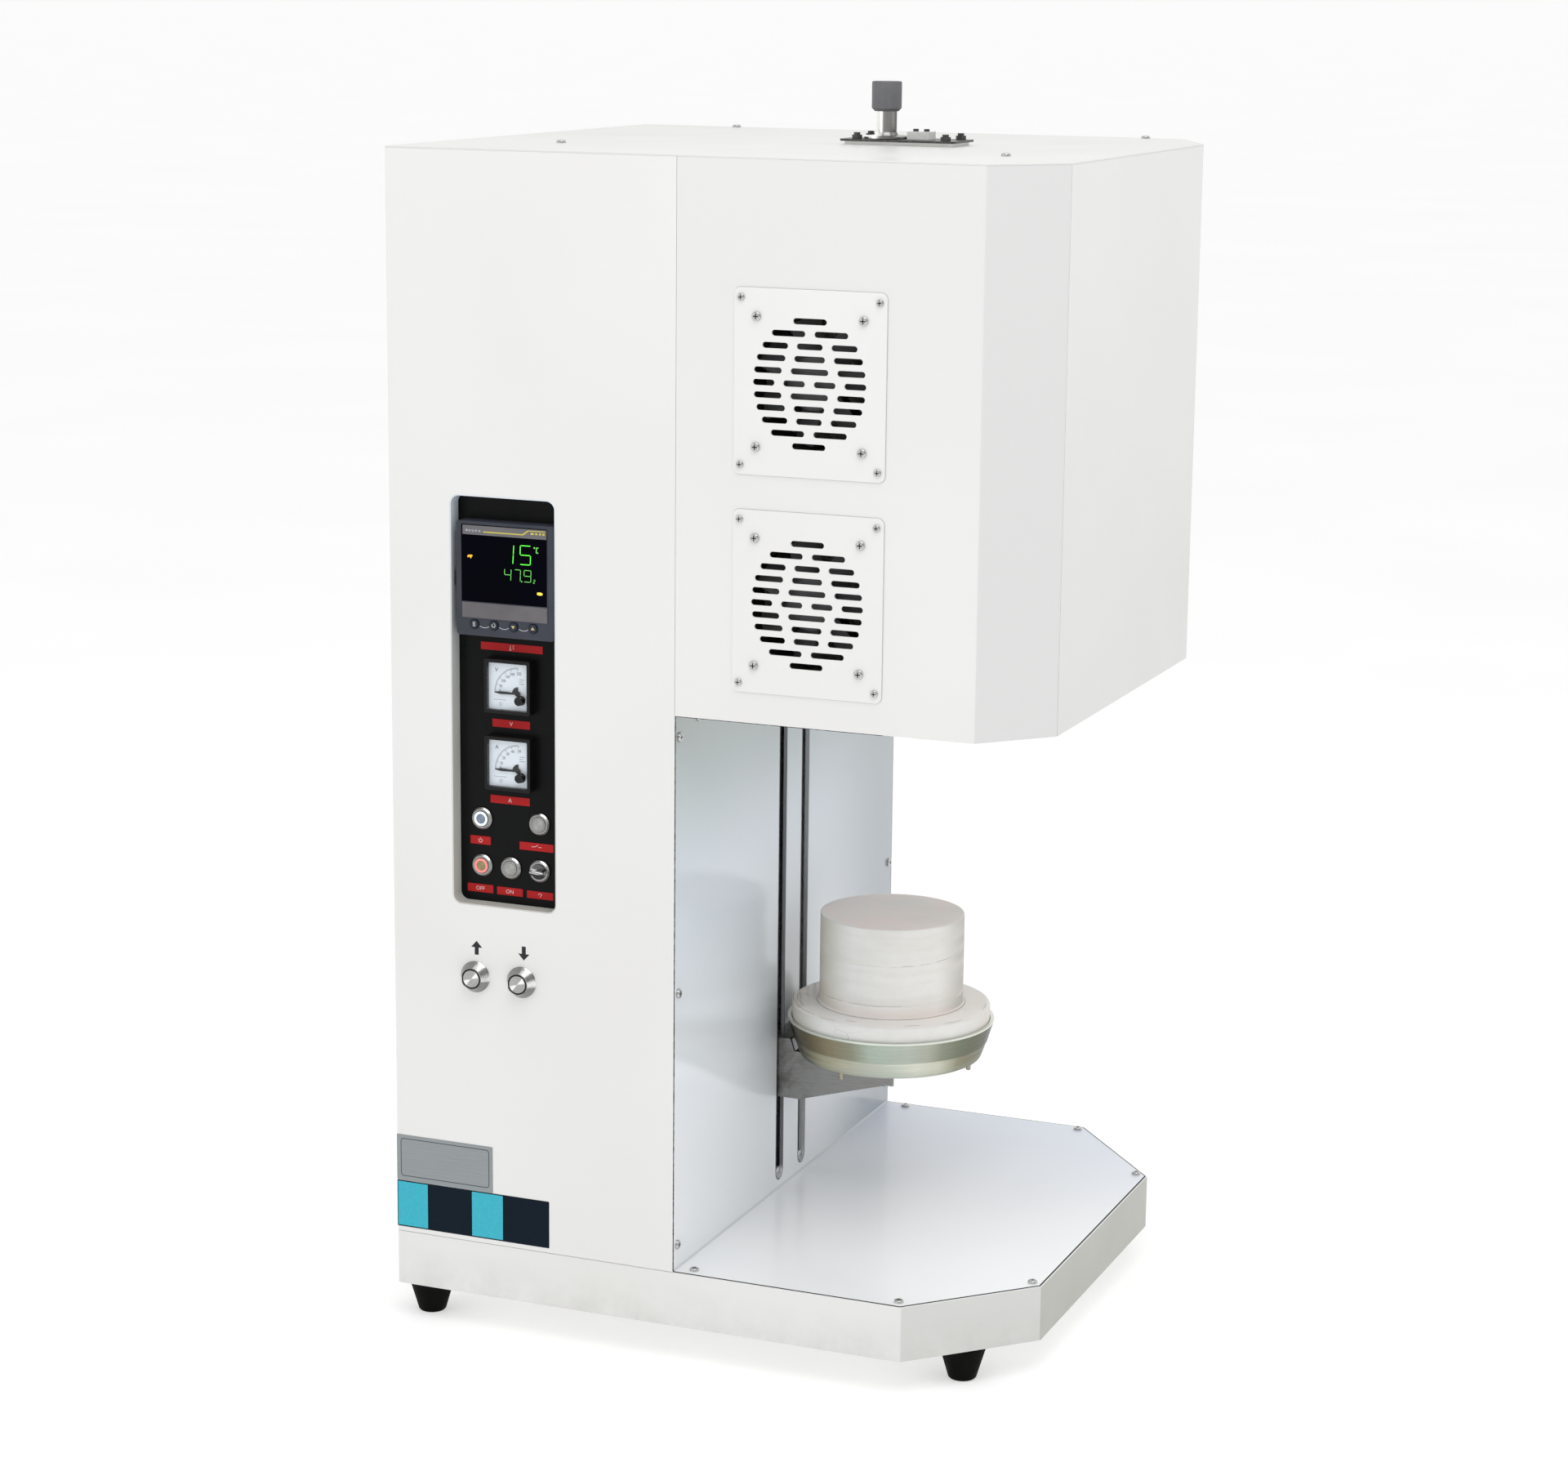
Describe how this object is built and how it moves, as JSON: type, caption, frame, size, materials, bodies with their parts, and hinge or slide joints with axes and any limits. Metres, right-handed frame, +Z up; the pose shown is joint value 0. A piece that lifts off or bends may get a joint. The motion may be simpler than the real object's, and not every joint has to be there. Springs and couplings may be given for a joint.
{
  "type": "bottom loading furnace",
  "caption": "Bench furnace with a heated head over an open bay and a column with controls; a motor lift raises the round hearth into the chamber.",
  "frame": {"origin": "on the floor under the middle of the bounding box", "axes": "+X to the viewer's right when facing the controls, +Y to the back, +Z up"},
  "size_m": [0.618, 0.5878, 1.15],
  "materials": {
    "cabinet_paint": "satin",
    "base_paint": "satin",
    "bay_paint": "gloss",
    "recess_paint": "satin",
    "black_paint": "satin",
    "grille_paint": "satin",
    "bright_screws": "polished",
    "button_steel": "turned",
    "bracket_steel": "brushed",
    "shaft_steel": "ground",
    "cast_body": "painted",
    "bare_aluminium": "milled",
    "dish_aluminium": "spun, tinted by heat",
    "bronze": "machined",
    "black_plastic": "matte",
    "controller_plastic": "satin",
    "key_plastic": "gloss",
    "screen": "gloss",
    "dial_card": "matte",
    "needle_black": "painted",
    "grey_cap": "matte",
    "foot_rubber": "matte",
    "fibre_board": "rough",
    "hearth_ceramic": "rough",
    "heater": "matte",
    "gland_plastic": "matte"
  },
  "bodies": {
    "cabinet": {"base_tray": "base_paint", "base_top_plate": "bay_paint", "rubber_feet": "foot_rubber", "foot_bolts": "bright_screws", "column_front_panel": "cabinet_paint", "column_side_panel": "cabinet_paint", "rear_panel": "cabinet_paint", "inner_wall_panel": "bay_paint", "head_front_panel": "cabinet_paint", "head_side_panel": "cabinet_paint", "head_bottom_plate": "cabinet_paint", "top_cover": "cabinet_paint", "panel_screws": "bright_screws", "fan_plates": "grille_paint", "fan_screws": "bright_screws", "fan_frames": "black_plastic", "control_recess_tray": "recess_paint", "control_fascia": "black_paint", "controller_housing": "controller_plastic", "controller_display": "screen", "meter_housings": "black_plastic", "meter_dials": "dial_card", "button_bezels": "button_steel", "thermocouple_mount": "bracket_steel", "thermocouple_probe": "button_steel", "thermocouple_head": "grey_cap", "chamber_insulation": "fibre_board", "heating_elements": "heater", "guide_rods": "shaft_steel", "lift_end_blocks": "bare_aluminium", "screw_bearings": "shaft_steel", "lift_motor": "cast_body", "power_transformer": "cast_body", "cable_gland": "gland_plastic"},
    "lift": {"lift_carriage": "bare_aluminium", "linear_bushes": "shaft_steel", "lead_nut": "bronze", "lift_bracket": "bracket_steel", "platform_dish": "dish_aluminium", "insulation_board": "fibre_board", "hearth": "hearth_ceramic", "platform_studs": "bright_screws"},
    "lead_screw": {"lead_screw": "shaft_steel"},
    "fan_rotor_upper": {"fan_rotor_upper": "black_plastic"},
    "fan_rotor_lower": {"fan_rotor_lower": "black_plastic"},
    "controller_key_1": {"controller_key_1": "key_plastic"},
    "controller_key_2": {"controller_key_2": "key_plastic"},
    "controller_key_3": {"controller_key_3": "key_plastic"},
    "controller_key_4": {"controller_key_4": "key_plastic"},
    "meter_needle_upper": {"meter_needle_upper": "needle_black"},
    "meter_needle_lower": {"meter_needle_lower": "needle_black"},
    "zero_knob_upper": {"zero_knob_upper": "black_plastic"},
    "zero_knob_lower": {"zero_knob_lower": "black_plastic"},
    "power_button_cap": {"power_button_cap": "button_steel"},
    "open_button_cap": {"open_button_cap": "button_steel"},
    "stop_button_cap": {"stop_button_cap": "button_steel"},
    "start_button_cap": {"start_button_cap": "button_steel"},
    "selector_knob": {"selector_knob": "button_steel"},
    "platform_up_cap": {"platform_up_cap": "button_steel"},
    "platform_down_cap": {"platform_down_cap": "button_steel"}
  },
  "joints": [
    {"name": "lift_slide", "type": "slide", "parent": "cabinet", "child": "lift", "axis": [0, 0, 1], "range_m": [-0.075, 0.3375]},
    {"name": "lead_screw_spin", "type": "hinge", "parent": "cabinet", "child": "lead_screw", "pos_m": [-0.043, 0.0015, 0.333], "axis": [0, 0, 1], "continuous": true},
    {"name": "fan_upper_spin", "type": "hinge", "parent": "cabinet", "child": "fan_rotor_upper", "pos_m": [0.099, -0.2645, 0.9025], "axis": [0, 1, 0], "continuous": true},
    {"name": "fan_lower_spin", "type": "hinge", "parent": "cabinet", "child": "fan_rotor_lower", "pos_m": [0.099, -0.2645, 0.711], "axis": [0, 1, 0], "continuous": true},
    {"name": "controller_key_1_press", "type": "slide", "parent": "cabinet", "child": "controller_key_1", "axis": [0, 1, 0], "range_m": [0, 0.001], "stiffness_N_per_m": 1500},
    {"name": "controller_key_2_press", "type": "slide", "parent": "cabinet", "child": "controller_key_2", "axis": [0, 1, 0], "range_m": [0, 0.001], "stiffness_N_per_m": 1500},
    {"name": "controller_key_3_press", "type": "slide", "parent": "cabinet", "child": "controller_key_3", "axis": [0, 1, 0], "range_m": [0, 0.001], "stiffness_N_per_m": 1500},
    {"name": "controller_key_4_press", "type": "slide", "parent": "cabinet", "child": "controller_key_4", "axis": [0, 1, 0], "range_m": [0, 0.001], "stiffness_N_per_m": 1500},
    {"name": "meter_needle_upper_swing", "type": "hinge", "parent": "cabinet", "child": "meter_needle_upper", "pos_m": [-0.1833, -0.2775, 0.6082], "axis": [0, 1, 0], "range_deg": [0, 90], "stiffness_Nm_per_rad": 0.0005},
    {"name": "zero_knob_upper_turn", "type": "hinge", "parent": "cabinet", "child": "zero_knob_upper", "pos_m": [-0.179, -0.2825, 0.603], "axis": [0, 1, 0], "range_deg": [-45, 45]},
    {"name": "meter_needle_lower_swing", "type": "hinge", "parent": "cabinet", "child": "meter_needle_lower", "pos_m": [-0.1833, -0.2775, 0.537], "axis": [0, 1, 0], "range_deg": [0, 90], "stiffness_Nm_per_rad": 0.0005},
    {"name": "zero_knob_lower_turn", "type": "hinge", "parent": "cabinet", "child": "zero_knob_lower", "pos_m": [-0.179, -0.2825, 0.5318], "axis": [0, 1, 0], "range_deg": [-45, 45]},
    {"name": "power_button_press", "type": "slide", "parent": "cabinet", "child": "power_button_cap", "axis": [0, 1, 0], "range_m": [0, 0.002], "stiffness_N_per_m": 1500},
    {"name": "open_button_press", "type": "slide", "parent": "cabinet", "child": "open_button_cap", "axis": [0, 1, 0], "range_m": [0, 0.002], "stiffness_N_per_m": 1500},
    {"name": "stop_button_press", "type": "slide", "parent": "cabinet", "child": "stop_button_cap", "axis": [0, 1, 0], "range_m": [0, 0.002], "stiffness_N_per_m": 1500},
    {"name": "start_button_press", "type": "slide", "parent": "cabinet", "child": "start_button_cap", "axis": [0, 1, 0], "range_m": [0, 0.002], "stiffness_N_per_m": 1500},
    {"name": "selector_turn", "type": "hinge", "parent": "cabinet", "child": "selector_knob", "pos_m": [-0.1655, -0.2745, 0.444], "axis": [0, 1, 0], "range_deg": [0, 90]},
    {"name": "platform_up_press", "type": "slide", "parent": "cabinet", "child": "platform_up_cap", "axis": [0, 1, 0], "range_m": [0, 0.0025], "stiffness_N_per_m": 1500},
    {"name": "platform_down_press", "type": "slide", "parent": "cabinet", "child": "platform_down_cap", "axis": [0, 1, 0], "range_m": [0, 0.0025], "stiffness_N_per_m": 1500}
  ],
  "couplings": [
    {"joint": "lead_screw_spin", "follows": "lift_slide", "rad_per_m": 628.32}
  ]
}
